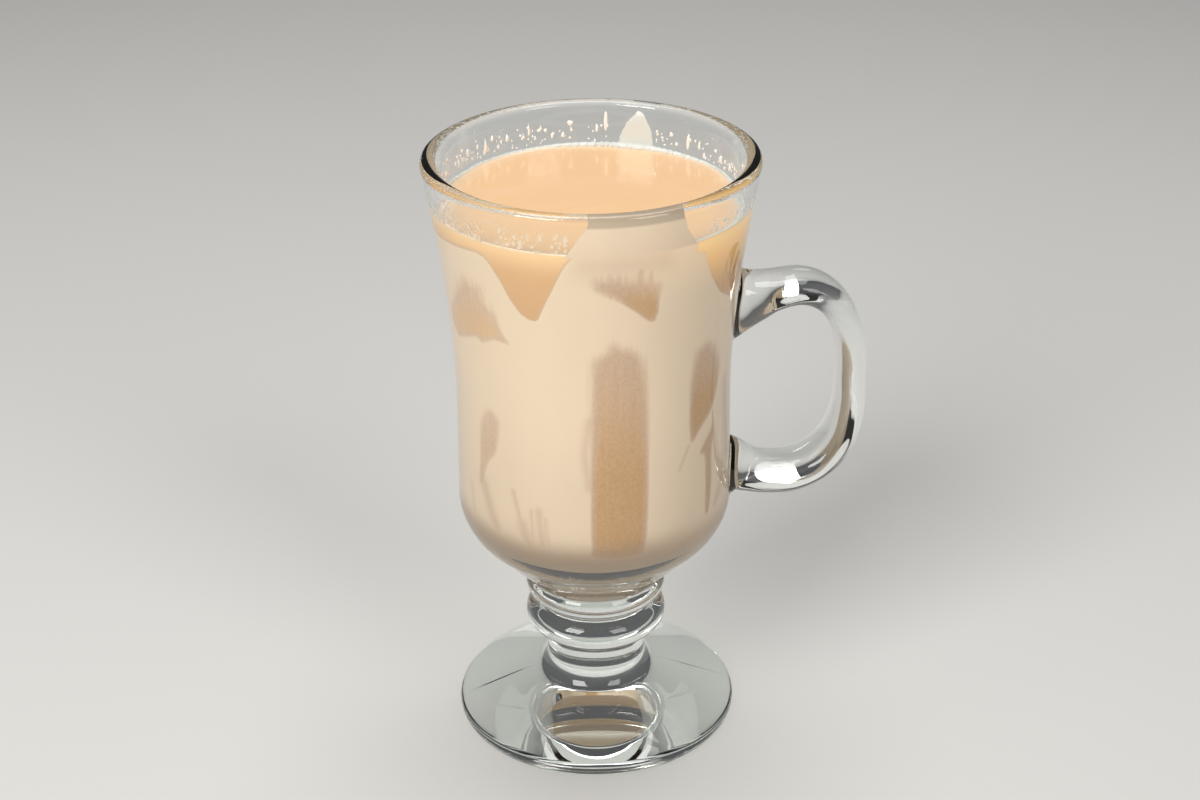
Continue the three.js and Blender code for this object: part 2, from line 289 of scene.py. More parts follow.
# Lines where the cream has run thin: (degrees, millimetres up) at both ends, half width, strength
THIN_LINES = (
    ((-60.5, 72.4), (-52.7, 62.3), 1.6, 0.6),
    ((-42.6, 73.8), (-36.6, 62.3), 0.55, 0.6),
    ((-38, 66), (-34, 57), 1.5, 0.6),
    ((-30, 70.3), (-28.7, 61.3), 1.0, 0.55),
    ((-70.3, 69.9), (-68.9, 62.1), 0.8, 0.3),
    ((-57.5, 70.5), (-51.5, 59.5), 0.9, 0.5),
    ((-33.6, 70), (-32.4, 58), 0.5, 0.5),
    ((-26.8, 68.6), (-25.8, 59), 0.5, 0.45),
    ((-7.6, 94.6), (-9.6, 86), 1.0, 0.5),
    ((-9.6, 86), (-7.6, 77.4), 1.0, 0.5),
    ((38.6, 83.4), (33.5, 78.3), 0.4, 0.5),
    ((67.1, 94.5), (70.7, 74.6), 1.6, 0.6),
    ((63.2, 68.3), (58.3, 64.1), 1.3, 0.6),
    ((12.1, 131.6), (12.1, 127), 0.8, 0.8),
    ((16.0, 130.8), (16.0, 126), 0.6, 0.65),
    ((0.8, 131.5), (0.8, 128), 0.5, 0.3),
    ((4.4, 131.5), (4.4, 128), 0.5, 0.35),
    ((-3.6, 130.5), (-3.6, 128.5), 0.4, 0.3),
    ((19.3, 127.5), (19.3, 124), 0.5, 0.3),
    ((-8, 133.5), (20, 133.5), 3.5, 0.42),
)
# Painted shade: the cream greys towards the cavity's floor
CAVITY_FLOOR_SHADE_FROM, CAVITY_FLOOR_SHADE_TO = 64.5, 57
CAVITY_FLOOR_SHADE = 0.75

# Cream standing above the level: edges as (degrees, millimetres up) from below to the tip
TONGUE_LEFT = ((-15.5, 134.2), (-13.7, 136.7), (-12.5, 137.8), (-9.2, 140.7), (-5.8, 144.0))
TONGUE_RIGHT = ((36.0, 134.2), (32.0, 137.3), (29.4, 139.9), (27.0, 144.0))
SPLASH_LEFT = (
    (147.9, 134.2), (148.2, 136.7), (148.8, 138.8), (150.6, 141.1), (152.7, 143.1), (154.8, 143.9),
)
SPLASH_RIGHT = (
    (163.6, 134.2), (162.9, 136.6), (161.8, 138.8), (159.6, 141.1), (157.0, 142.9), (155.6, 143.9),
)
FILM_ROWS = 40
FILM_COLUMNS = 48
# Painted shade: the film above the level greys towards the level
FILM_LEVEL_SHADE = 0.35
FILM_EDGE_POWER = 0.35
FILM_TIP_POWER = 6
FILM_TIP_LOSS = 0.98

# Sway of the films' edges in degrees, how many rows it differs by, and its waves as (share, pace, start)
FILM_SWAY = 0.12
FILM_SWAY_SHIFT = 7
FILM_WAVES = ((1.0, 1.7, 0), (0.6, 4.1, 1), (0.4, 7.3, 0))

# Runs and larger drops on the bare wall: (degrees, lower end, upper end, half width), above the level
DRIPS = (
    (168.4, 3.4, 8.2, 0.5), (-138.9, 1.6, 5.2, 0.55), (132, 1.6, 5.6, 0.5), (140.4, 3.6, 4.8, 0.5),
    (-108, 2.0, 3.6, 0.6), (88, 5.6, 6.6, 0.45), (-177.3, 4.7, 6.0, 0.75), (-167, 3.6, 4.6, 0.45),
    (-160, 3.2, 6.2, 0.35), (172, 3.0, 5.0, 0.4), (126, 2.4, 4.6, 0.4), (112, 1.8, 3.6, 0.6),
    (104, 1.2, 3.0, 0.5), (-121, 1.4, 4.2, 0.45), (-128, 2.8, 4.8, 0.5), (-150, 3.0, 4.8, 0.55),
)


class Scatter(NamedTuple):
    """A band of small drops: degrees, heights above the level and half widths, both in millimetres."""

    count: int
    turn: tuple
    height: tuple
    half_width: tuple


SCATTERS = (
    Scatter(90, (-178, -92), (0.9, 5.8), (0.16, 0.6)),
    Scatter(60, (96, 176), (0.9, 5.0), (0.16, 0.5)),
    Scatter(140, (-84, -14), (0.8, 6.2), (0.15, 0.55)),
    Scatter(50, (38, 84), (0.8, 5.4), (0.15, 0.5)),
)
DROP_RINGS = 5
DROP_SIDES = 14
DROP_BULGE = 0.55
DROP_HEIGHT_CURVE = (1.3, 1.7)
DROP_WIDTH_CURVE = (1, 2.2)
DROP_TALL = (0.8, 1.8)
DROP_TAPER = 0.4
DROP_SAG = 0.3
DROP_UNEVEN = 0.12
DROP_LOBES = 3
DROP_LOBE_TURN = 5
SEED = 7

# Foam: fullest near the splash; its waves are (fewest, most, seed) and all strengths are shares of its size
FOAM_COLUMNS = 720
FOAM_SIDES = 14
FOAM_FULL_TURN, FOAM_FULL_SPREAD = 160, 30
FOAM_FULL_WIDTH, FOAM_FULL_HEIGHT = 1.3, 1.4
FOAM_WIDTH_WAVES, FOAM_WIDTH_WAVER = (2, 14, 1), 0.2
FOAM_HEIGHT_WAVES, FOAM_HEIGHT_WAVER = (3, 20, 2), 0.15
FOAM_LUMP_WAVES, FOAM_LUMPS, FOAM_FULL_LUMPS, FOAM_LUMP_HEIGHT = (40, 170, 3), 0.05, 0.2, 1.5
FOAM_LEAST_WIDTH, FOAM_LEAST_HEIGHT = 0.3 * MM, 0.08 * MM

# Camera and studio
CAMERA_TURN = 5.5
CAMERA_DISTANCE = 421.07 * MM
CAMERA_HEIGHT = 302.96 * MM
CAMERA_PITCH = 27.47333
CAMERA_ROLL = -0.51566
CAMERA_YAW = 0.20626
CAMERA_LENS = 60.556
CAMERA_NEAR = 0.01
SENSOR_WIDTH = 36
FLOOR_DROP = 0.15 * MM
FLOOR_HALF = 4.0
FLOOR_CELLS = 8
LIGHT_AIM = (0, 0, 0.09)
ROOM_TINT = (0.9, 0.92, 0.95, 1)
MIX_A, MIX_B, MIX_RESULT = 6, 7, 2


class Lamp(NamedTuple):
    """A soft rectangular light: its place, its width and height, all in metres, and its tint."""

    place: tuple
    size: tuple
    tint: tuple


LAMPS = {
    "key": Lamp((-0.66, -0.66, 0.80), (0.5, 0.6), (1, 0.98, 0.95)),
    "fill": Lamp((0.54, -0.77, 0.75), (0.45, 0.55), (1, 0.98, 0.96)),
    "top": Lamp((0.05, 0.25, 1.15), (0.8, 0.6), (1, 1, 1)),
}


def srgb(red, green, blue):
    """A colour given as 0 to 255 on a screen, as the linear values that Blender works with."""
    share = np.array([red, green, blue]) / 255
    return tuple(np.where(share <= 0.04045, share / 12.92, ((share + 0.055) / 1.055) ** 2.4))


def length(name, description, default):
    """A size in metres that a user can change."""
    return bpy.props.FloatProperty(
        name=name, description=description, default=default, min=0, unit="LENGTH", precision=5
    )


def colour(name, description, default):
    """A colour that a user can change."""
    return bpy.props.FloatVectorProperty(
        name=name, description=description, default=default, min=0, max=1, size=3, subtype="COLOR"
    )


def strength(name, description, default, unit="NONE"):
    """The strength of a light that a user can change."""
    return bpy.props.FloatProperty(name=name, description=description, default=default, min=0, unit=unit)


class MugSizes(bpy.types.PropertyGroup):
    """Sizes of the glass and of what it holds."""

    rim_radius: length("Rim radius", "Outside radius at the rim", GLASS_HIGH.y)
    rim_height: length("Rim height", "Top of the rim above the foot's underside", GLASS_HIGH.z)
    wall: length("Wall", "Thickness of the bowl's wall", 3 * MM)
    waist_radius: length("Waist radius", "Outside radius at the waist", 32.05 * MM)
    waist_height: length("Waist height", "Height of the waist", 90 * MM)
    belly_radius: length("Belly radius", "Outside radius at the belly", 32.5 * MM)
    cavity_floor: length("Cavity floor", "Height of the inside floor", CREAM_LOW.z - SOLID_GAP)
    collar_radius: length("Collar radius", "Outside radius of the rolled collar", 17 * MM)
    ring_radius: length("Ring radius", "Outside radius of the ring", 17.1 * MM)
    neck_radius: length("Neck radius", "Radius of the plain neck", 12 * MM)
    foot_radius: length("Foot radius", "Radius of the foot", 34.4 * MM)
    level: length("Level", "Height of the drink's surface", DRINK_HIGH.z)
    coat: length("Cream coat", "Thickness of the cream on the wall", 1.2 * MM)
    film: length("Cream film", "Thickness of the cream above the level", 0.6 * MM)
    foam_width: length("Foam width", "Width of the foam where the drink meets the wall", 1.0 * MM)
    foam_height: length("Foam height", "Height of the foam above the level", 0.35 * MM)


class MugColours(bpy.types.PropertyGroup):
    """Colours of the liquids, the glass and the studio."""

    surface: colour("Surface", "Top of the milky coffee", srgb(240, 198, 152))
    coffee: colour("Coffee", "Milky coffee against the glass", srgb(236, 187, 137))
    # Painted light: coffee lit through the drink's surface
    lit_coffee: colour("Shallow coffee", "Coffee lit through its surface", srgb(253, 212, 160))
    # Painted shade: coffee that light from above doesn't reach
    shaded_coffee: colour("Deep coffee", "Coffee far below its surface", srgb(207, 164, 119))
    # Painted glow: the colour the liquids emit under the level
    amber: colour("Amber", "Light that has come down through the drink", (1, 0.6, 0.17))
    cream: colour("Cream", "Poured cream on the wall", srgb(243, 218, 190))
    # The colour of thin cream, and also of painted shade towards the cavity's floor and on the film near the
    # level
    thin_cream_and_shade: colour("Thin cream", "Cream run so thin that the coffee greys it", srgb(212, 180, 154))
    foam: colour("Foam", "Foam round the drink", srgb(216, 217, 210))
    drops: colour("Drops", "Drops on the bare wall", srgb(244, 240, 231))
    glass: colour("Glass", "Tint of the glass surface", (0.985, 0.995, 0.99))
    glass_light: colour("Glass light", "Light that passes the glass", (0.93, 0.95, 0.94))
    glass_depth: colour("Glass depth", "Colour that thick glass takes on", (0.78, 0.92, 0.87))
    floor: colour("Floor", "Studio floor", srgb(214, 213, 210))


class MugStudio(bpy.types.PropertyGroup):
    """Strength of the studio's lights."""

    key: strength("Key", "Large soft light at the left", 10.6, "POWER")
    fill: strength("Fill", "Soft light at the right", 4.2, "POWER")
    top: strength("Top", "Soft light overhead", 6.4, "POWER")
    room: strength("Room", "Even light of the room", 0.1)


def smoothstep(low, high, value):
    """0 below low, 1 above high and an S curve between."""
    share = np.clip((value - low) / (high - low), 0, 1)
    return share * share * (3 - 2 * share)


def around(turn, radius, height):
    """Points at an angle from the front towards the handle, a distance from the axis and a height."""
    turn, radius, height = np.broadcast_arrays(turn, radius, height)
    return np.stack([radius * np.sin(turn), -radius * np.cos(turn), height], axis=-1)


def arc(radius, height, bend, start, end):
    """Points on a circle of radius bend about (radius, height), from one angle in degrees to another."""
    angle = np.radians(np.linspace(start, end, ARC_STEPS))
    return np.stack([radius + bend * np.cos(angle), height + bend * np.sin(angle)], axis=-1)


def along(points):
    """Distance travelled along a row of points."""
    return np.concatenate([[0], np.cumsum(np.linalg.norm(np.diff(points, axis=0), axis=1))])


def resampled(points, places):
    """Points at the given distances along a row of points."""
    travelled = along(points)
    return np.stack([np.interp(places, travelled, points[:, k]) for k in range(points.shape[1])], axis=-1)


def smooth_curve(corners, steps, closed=False):
    """A curve through every corner: each stretch is a cubic whose end slopes follow the neighbours' chord."""
    corners = np.asarray(corners, float)
    if closed:
        padded = np.concatenate([corners[-1:], corners, corners[:2]])
    else:
        first, last = 2 * corners[:1] - corners[1:2], 2 * corners[-1:] - corners[-2:-1]
        padded = np.concatenate([first, corners, last])
    before, start, end, after = padded[:-3], padded[1:-2], padded[2:-1], padded[3:]
    t = np.linspace(0, 1, steps, endpoint=False)[:, None, None]
    curve = 0.5 * (
        2 * start
        + (end - before) * t
        + (2 * before - 5 * start + 4 * end - after) * t**2
        + (3 * start - before - 3 * end + after) * t**3
    )
    curve = curve.transpose(1, 0, 2).reshape(-1, corners.shape[1])
    return curve if closed else np.concatenate([curve, corners[-1:]])


def rim_edge(size):
    """Height at which the rim starts to round over."""
    return size.rim_height - RIM_ROUND


def bowl_radius(size, height):
    """Outside radius: from the waist a power of the height out to the rim, and another down to the belly."""
    rise = np.clip((height - size.waist_height) / (rim_edge(size) - size.waist_height), 0, None)
    drop = np.clip((size.waist_height - height) / (size.waist_height - BELLY_HEIGHT), 0, None)
    flare = (size.rim_radius - size.waist_radius) * rise**FLARE_POWER
    belly = (size.belly_radius - size.waist_radius) * drop**BELLY_POWER
    return size.waist_radius + flare + belly


def cavity_radius(size, height):
    """Inside radius above the rounded floor: the outside less the wall, which swells at the rim."""
    swell = RIM_SWELL * smoothstep(RIM_SWELL_FROM, rim_edge(size), height)
    return bowl_radius(size, height) - size.wall - swell


def cavity_outline(size, top, floor_rows, wall_rows):
    """The inside from the axis to a height: a quarter of a squared ellipse, then the wall."""
    angle = np.linspace(0, np.pi / 2, floor_rows, endpoint=False)
    out = np.sin(angle) ** (2 / CAVITY_SQUARENESS)
    down = np.cos(angle) ** (2 / CAVITY_SQUARENESS)
    reach = cavity_radius(size, CAVITY_TURN)
    floor = np.stack([reach * out, CAVITY_TURN - (CAVITY_TURN - size.cavity_floor) * down], axis=-1)
    height = np.linspace(CAVITY_TURN, top, wall_rows)
    wall = np.stack([cavity_radius(size, height), height], axis=-1)
    return np.concatenate([floor, wall])


def foot_outline(size):
    """Flat underside, rounded edge, sloping top and a hollow fillet up to the neck."""
    edge = FOOT_EDGE / 2
    normal = 90 - FOOT_SLOPE
    rounded = arc(size.foot_radius - edge, edge, edge, -90, normal)
    across, upward = math.cos(math.radians(normal)), math.sin(math.radians(normal))
    centre = size.neck_radius + FOOT_FILLET
    height = rounded[-1, 1] + (FOOT_FILLET - across * (centre - rounded[-1, 0])) / upward
    fillet = arc(centre, height, FOOT_FILLET, 180 + normal, 180)
    return np.concatenate([[[0, 0]], rounded, fillet])


def stem_outline(size):
    """A fillet under the ring, then the ring and the collar as two rolls."""
    ring = size.ring_radius - RING_ROLL
    collar = size.collar_radius - COLLAR_ROLL
    below = RING_HEIGHT - RING_ROLL - RING_FILLET
    fillet = arc(size.neck_radius + RING_FILLET, below, RING_FILLET, 180, 90)
    lower = arc(ring, RING_HEIGHT, RING_ROLL, -90, ROLL_OPENING)
    upper = arc(collar, COLLAR_HEIGHT, COLLAR_ROLL, -ROLL_OPENING, COLLAR_TOP_OPENING)
    return np.concatenate([fillet, lower, upper])


def bowl_outline(size):
    """Rounded shoulder, outer wall, rim as half a squared oval, and the cavity back down to the axis."""
    shoulder = arc(size.belly_radius - SHOULDER_RADIUS, BELLY_HEIGHT, SHOULDER_RADIUS, -SHOULDER_SLOPE, 0)
    height = np.linspace(BELLY_HEIGHT, rim_edge(size), OUTLINE_ROWS)[1:-1]
    wall = np.stack([bowl_radius(size, height), height], axis=-1)
    half = (size.wall + RIM_SWELL) / 2
    angle = np.linspace(0, np.pi, RIM_STEPS)
    across = np.sign(np.cos(angle)) * np.abs(np.cos(angle)) ** (2 / RIM_SQUARENESS)
    upward = np.sin(angle) ** (2 / RIM_SQUARENESS)
    rim = np.stack([size.rim_radius - half + half * across, rim_edge(size) + RIM_ROUND * upward], axis=-1)
    inside = cavity_outline(size, rim_edge(size), OUTLINE_ROWS, OUTLINE_ROWS)[::-1]
    return np.concatenate([shoulder, wall, rim, inside[1:]])


def softened(outline):
    """The outline averaged over a short stretch, mirrored past the axis so that its ends stay there."""
    places = np.arange(0, along(outline)[-1], OUTLINE_STEP)
    fine = np.concatenate([resampled(outline, places), outline[-1:]])
    reach = int(BLUR_REACH * OUTLINE_BLUR / OUTLINE_STEP)
    weight = np.exp(-0.5 * (np.arange(-reach, reach + 1) * OUTLINE_STEP / OUTLINE_BLUR) ** 2)
    mirror = np.array([-1, 1])
    padded = np.concatenate([fine[reach:0:-1] * mirror, fine, fine[-2 : -reach - 2 : -1] * mirror])
    return np.stack([np.convolve(padded[:, k], weight / weight.sum(), "valid") for k in range(2)], axis=-1)


def thinned(outline):
    """Fewer points: they stand as far apart as the longest face and the sharpest turn allow together."""
    steps = np.diff(outline, axis=0)
    bearing = np.unwrap(np.arctan2(steps[:, 1], steps[:, 0]))
    turn = np.concatenate([[0], np.abs(np.diff(bearing)), [0]])
    need = along(outline) / LONGEST_FACE + np.cumsum(turn) / SHARPEST_TURN
    count = int(need[-1]) + 1
    return resampled(outline, np.interp(np.linspace(0, need[-1], count), need, along(outline)))


def ring_quads(rows, columns, closed=False):
    """Quads of a grid whose columns close on themselves; with closed, its rows do too."""
    count = rows if closed else rows - 1
    row, column = np.meshgrid(np.arange(count), np.arange(columns), indexing="ij")
    above, after = (row + 1) % rows * columns, (column + 1) % columns
    row = row * columns
    return np.stack([row + column, row + after, above + after, above + column], axis=-1).reshape(-1, 4)


def fan(centre, ring, turned=False):
    """Triangles from one point to each pair of neighbours on a ring; turned, they face the other way."""
    after = np.roll(ring, -1)
    pair = (ring, after) if turned else (after, ring)
    return np.stack([np.full(ring.size, centre), *pair], axis=-1)


def capped(points, first, last):
    """A tube of rings of points, closed at both ends by a fan to a single point."""
    rows, columns = points.shape[:2]
    vertices = np.concatenate([points.reshape(-1, 3), [first, last]])
    ring, end = np.arange(columns), rows * columns
    fans = np.concatenate([fan(end, ring), fan(end + 1, end - columns + ring, turned=True)])
    return vertices, ring_quads(rows, columns), fans


def new_mesh(name, vertices, *faces):
    """A mesh from an array of points and arrays of faces with three or four corners."""
    mesh = bpy.data.meshes.new(name)
    corners = [corner for block in faces for corner in block.tolist()]
    mesh.from_pydata(vertices.tolist(), [], corners)
    mesh.validate()
    return mesh


def add_values(mesh, **values):
    """Puts arrays on the mesh's points as named attributes."""
    for name, value in values.items():
        attribute = mesh.attributes.new(name, "FLOAT", "POINT")
        attribute.data.foreach_set("value", np.ascontiguousarray(value, dtype=np.float32).ravel())


def show(mesh, materials, nodes=()):
    """Shades the mesh, puts it in the scene, and ties it to the frame."""
    for material in materials:
        mesh.materials.append(material)
    mesh.shade_smooth()
    mesh.set_sharp_from_angle(angle=SHARP_ANGLE)
    piece = bpy.data.objects.new(mesh.name, mesh)
    bpy.context.scene.collection.objects.link(piece)
    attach(piece, "root")
    if nodes:
        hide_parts(*nodes)


def mug_body(size):
    """The glass outline carried round the axis, with the mould's ridge on the foot in the handle's plane."""
    sharp = np.concatenate([foot_outline(size), stem_outline(size), bowl_outline(size)])
    outline = thinned(softened(sharp))
    even = np.linspace(-180, 180, GLASS_COLUMNS, endpoint=False)
    seam = np.concatenate([side + np.array(SEAM_OFFSETS) for side in (-90, 90)])
    turns = np.radians(np.unique(np.concatenate([even, seam]).round(6)))
    ring = outline[1:-1]
    radius, height = ring[:, :1], ring[:, 1:]
    points = around(turns[None], radius, height)
    inner, outer = size.neck_radius + FOOT_FILLET, size.foot_radius - FOOT_EDGE
    on_foot = (height > FOOT_EDGE / 2) & (height < RING_HEIGHT - RING_ROLL)
    stretch = smoothstep(outer + SEAM_FADE / 2, outer - SEAM_FADE / 2, radius)
    stretch = stretch * smoothstep(inner - SEAM_FADE, inner + SEAM_FADE, radius) * on_foot
    points[..., 2] += SEAM_HEIGHT * stretch * np.exp(-((points[..., 1] / SEAM_HALF_WIDTH) ** 2))
    return capped(points, [0, 0, outline[0, 1]], [0, 0, outline[-1, 1]])


def along_handle(values, share):
    """A size that runs evenly from the handle's top to its side and on to its foot."""
    return np.interp(share, (0, 0.5, 1), values)


def handle_bar():
    """A squared oval carried along the handle's path; it swells and flares towards both roots."""
    dense = smooth_curve(HANDLE_PATH, CURVE_STEPS) * MM
    travelled = along(dense)
    places = np.linspace(0, travelled[-1], HANDLE_STEPS)
    path = resampled(dense, places)
    run = np.gradient(path, axis=0)
    run /= np.linalg.norm(run, axis=1, keepdims=True)
    share = places / travelled[-1]
    thickness = along_handle(HANDLE_HALF_THICKNESS, share)
    width = along_handle(HANDLE_HALF_WIDTH, share)
    for root, distance in enumerate((places, travelled[-1] - places)):
        thickness += HANDLE_SWELL[root] * np.clip(1 - distance / HANDLE_SWELL_LENGTH[root], 0, None) ** 2
        flare = HANDLE_FILLET * np.clip(1 - distance / HANDLE_FILLET_LENGTH, 0, None) ** 2
        thickness += flare
        width += flare
    angle = -2 * np.pi * np.arange(HANDLE_SIDES) / HANDLE_SIDES
    power = 2 / HANDLE_SQUARENESS
    across = np.sign(np.cos(angle)) * np.abs(np.cos(angle)) ** power * thickness[:, None]
    aside = np.sign(np.sin(angle)) * np.abs(np.sin(angle)) ** power * width[:, None]
    points = np.stack(
        [path[:, :1] - run[:, 1:] * across, aside, path[:, 1:] + run[:, :1] * across], axis=-1
    )
    ends = [[x, 0, z] for x, z in (path[0], path[-1])]
    return capped(points, *ends)


def joined(name, first, second):
    """Both closed meshes as one skin, without what lies inside the other."""
    objects = [bpy.data.objects.new(mesh.name, mesh) for mesh in (first, second)]
    for item in objects:
        bpy.context.scene.collection.objects.link(item)
    union = objects[0].modifiers.new("union", "BOOLEAN")
    union.operation = "UNION"
    union.solver = "MANIFOLD"
    union.object = objects[1]
    graph = bpy.context.evaluated_depsgraph_get()
    mesh = bpy.data.meshes.new_from_object(objects[0].evaluated_get(graph))
    mesh.name = name
    mesh.materials.clear()
    for item in objects:
        old = item.data
        bpy.data.objects.remove(item)
        bpy.data.meshes.remove(old)
    return mesh


def back_window(index):
    """A leaf-shaped streak: pointed at its top, widest above the middle, thin at its foot."""
    middle = BACK_FROM + (BACK_TO - BACK_FROM) * index / (BACK_STREAKS - 1)
    shift = BACK_STAGGER if index % 2 == 0 else -BACK_STAGGER
    top, foot = BACK_TOP + shift, BACK_FOOT + shift
    bulge, taper = foot + (top - foot) * STREAK_BULGE, foot + (top - foot) * STREAK_TAPER
    width = BACK_HALF_WIDTH
    corners = (
        (middle, top), (middle - width, bulge), (middle - width / 2, taper),
        (middle + width / 4, foot), (middle + width / 2, taper), (middle + width, bulge),
    )
    return Window(corners, smooth=True, edge=0.7, top_edge=3.0, ragged=0.2, veil=(0.1, 0.9), deep=1.0)


def unrolled(size, turn, height, middle):
    """Distance round the wall from a middle angle, and height, both in millimetres."""
    offset = (turn - middle + 180) % 360 - 180
    return np.stack([np.radians(offset) * cavity_radius(size, height * MM) / MM, height], axis=-1)


def side_distance(points, start, end):
    """Distance of every point from every straight side."""
    side = end - start
    away = points[:, None] - start
    share = np.clip((away * side).sum(-1) / (side * side).sum(-1), 0, 1)
    return np.linalg.norm(away - share[..., None] * side, axis=-1)


def inside_distance(points, corners):
    """Distance to an outline's nearest side, above 0 inside it, where a ray crosses an odd count of sides."""
    ends = np.roll(corners, -1, axis=0)
    nearest = side_distance(points, corners, ends).min(axis=1)
    x, y = points[:, None, 0], points[:, None, 1]
    spans = (corners[:, 1] > y) != (ends[:, 1] > y)
    rise = np.where(ends[:, 1] == corners[:, 1], 1, ends[:, 1] - corners[:, 1])
    crossing = corners[:, 0] + (y - corners[:, 1]) / rise * (ends[:, 0] - corners[:, 0])
    odd = (spans & (x < crossing)).sum(axis=1) % 2 == 1
    return np.where(odd, nearest, -nearest)


def wall_pattern(size, turn, height):
    """How open the cream is at points of the wall, given in degrees and millimetres.

    Gives the depth inside the nearest window in metres, the same depth in widths of that window's blurred
    edge, how ragged the edge is, how veiled and how deep the coffee is, and how thin the cream has run, which
    also carries painted shade towards the cavity's floor.
    """
    shape = turn.shape
    turn, height = turn.ravel(), height.ravel()
    depth = np.full(turn.shape, FAR_OUTSIDE)
    opening = np.full(turn.shape, -FARTHEST)
    ragged, veil, deep = np.zeros((3, turn.size))
    for window in (*WINDOWS, *map(back_window, range(BACK_STREAKS))):
        corners = np.array(window.corners, float)
        middle = (corners[:, 0].min() + corners[:, 0].max()) / 2
        outline = unrolled(size, corners[:, 0], corners[:, 1], middle)
        if window.smooth:
            outline = smooth_curve(outline, WINDOW_CURVE_STEPS, closed=True)
        inside = inside_distance(unrolled(size, turn, height, middle), outline)
        low, top = outline[:, 1].min(), outline[:, 1].max()
        upper = smoothstep(low + UPPER_PART * (top - low), top, height)
        edge = window.edge + (window.top_edge - window.edge) * upper
        share = np.clip(inside / edge, -FARTHEST, window.most)
        nearest = share > opening
        broken = window.ragged * (RAGGED_LOW_DOWN + (1 - RAGGED_LOW_DOWN) * upper)
        ragged = np.where(nearest, broken, ragged)
        low_veil, top_veil = window.veil
        at_edge = EDGE_VEIL * (1 - smoothstep(EDGE_VEIL_FROM, EDGE_VEIL_TO, inside / edge))
        hanging = np.maximum(low_veil + (top_veil - low_veil) * upper, at_edge)
        veil = np.where(nearest, hanging, veil)
        deep = np.where(nearest, window.deep, deep)
        opening = np.maximum(opening, share)
        depth = np.maximum(depth, inside)
    # Painted shade: greyer towards the cavity's floor; the thin lines below are the cream's own
    thin = CAVITY_FLOOR_SHADE * smoothstep(CAVITY_FLOOR_SHADE_FROM, CAVITY_FLOOR_SHADE_TO, height)
    for start, end, half_width, thinness in THIN_LINES:
        ends = [unrolled(size, np.array([t]), np.array([z]), start[0]) for t, z in (start, end)]
        distance = side_distance(unrolled(size, turn, height, start[0]), *ends)[:, 0]
        thin = np.maximum(thin, thinness * np.exp(-((distance / half_width) ** 2)))
    return [value.reshape(shape) for value in (depth * MM, opening, ragged, veil, deep, thin)]


def wall_grid(size):
    """Rings of the cavity up to the level: angles, radii, heights and the direction into the glass."""
    outline = cavity_outline(size, size.level, FLOOR_ROWS, WALL_ROWS)
    run = np.gradient(outline, axis=0)
    run /= np.linalg.norm(run, axis=1, keepdims=True)
    fine = np.linspace(FINE_FROM, FINE_TO, FINE_COLUMNS, endpoint=False)
    coarse = np.linspace(FINE_TO, FINE_FROM + 360, COARSE_COLUMNS, endpoint=False)
    turns = np.concatenate([fine, coarse])
    turn, radius = np.meshgrid(turns, outline[1:, 0])
    height = np.broadcast_to(outline[1:, 1:], turn.shape)
    return turn, radius, height, run[1:, 1:], -run[1:, :1]


def offset_wall(grid, offset):
    """The cavity's wall moved into the glass by an offset."""
    turn, radius, height, outward, upward = grid
    return around(np.radians(turn), radius + offset * outward, height + offset * upward)


def coat_quads(kept, rows, columns):
    """Both skins of the coat where quads are kept, and the walls that join them along every cut edge."""
    inner = rows * columns
    quads = ring_quads(rows, columns).reshape(rows - 1, columns, 4)
    skins = [quads[kept], quads[kept][:, ::-1] + inner]
    left = kept & ~np.roll(kept, 1, axis=1)
    right = kept & ~np.roll(kept, -1, axis=1)
    below = kept & ~np.concatenate([np.ones((1, columns), bool), kept[:-1]])
    above = kept & ~np.concatenate([kept[1:], np.zeros((1, columns), bool)])
    walls = []
    for cut, first, second in ((below, 0, 1), (right, 1, 2), (above, 2, 3), (left, 3, 0)):
        start, end = quads[cut][:, first], quads[cut][:, second]
        walls.append(np.stack([end, start, start + inner, end + inner], axis=-1))
    return np.concatenate(skins + walls)


def ribbon_ends(rows, across):
    """Triangles for both ends of a flattened tube: its rings run over one skin and back on the other."""
    ring = 2 * across - 2
    there = np.arange(across)
    back = (ring - there) % ring
    back[-1] = across - 1
    first = np.stack([there[1:-1], there[2:], back[1:-1]], axis=-1)
    second = np.stack([back[:-2], there[1:-1], back[1:-1]], axis=-1)
    end = np.concatenate([first, second])
    return np.concatenate([end[:, ::-1], end + (rows - 1) * ring])


def cream_film(size, left, right, reach):
    """A film on the wall above the level: across it runs from edge to edge, up it rises to its tip.

    The outer skin lies in the glass; the inner one stands off it by the film's thickness, which falls to
    nothing at the edges and thins towards the tip.
    """
    left, right = np.array(left), np.array(right)
    height = np.linspace(left[0, 1], left[-1, 1], FILM_ROWS)[:, None]
    across = np.linspace(0, 1, FILM_COLUMNS)
    across = np.concatenate([across, across[-2:0:-1]])
    inner = np.arange(across.size) >= FILM_COLUMNS
    start = np.interp(height, left[:, 1], left[:, 0])
    end = np.interp(height, right[:, 1], right[:, 0])
    sway = FILM_SWAY * sum(share * np.sin(height * pace + first) for share, pace, first in FILM_WAVES)
    start, end = start + sway, end - np.roll(sway, FILM_SWAY_SHIFT)
    turn = start + (end - start) * (0.5 - 0.5 * np.cos(np.pi * across))
    rise = (height - height[0]) / (height[-1] - height[0])
    body = np.sin(np.pi * across) ** FILM_EDGE_POWER * np.sqrt(1 - FILM_TIP_LOSS * rise**FILM_TIP_POWER)
    offset = reach - np.where(inner, (size.film + reach) * body, 0)
    radius = cavity_radius(size, height * MM) + offset
    points = around(np.radians(turn), radius, height * MM)
    return points.reshape(-1, 3), ring_quads(*turn.shape), ribbon_ends(FILM_ROWS, FILM_COLUMNS)


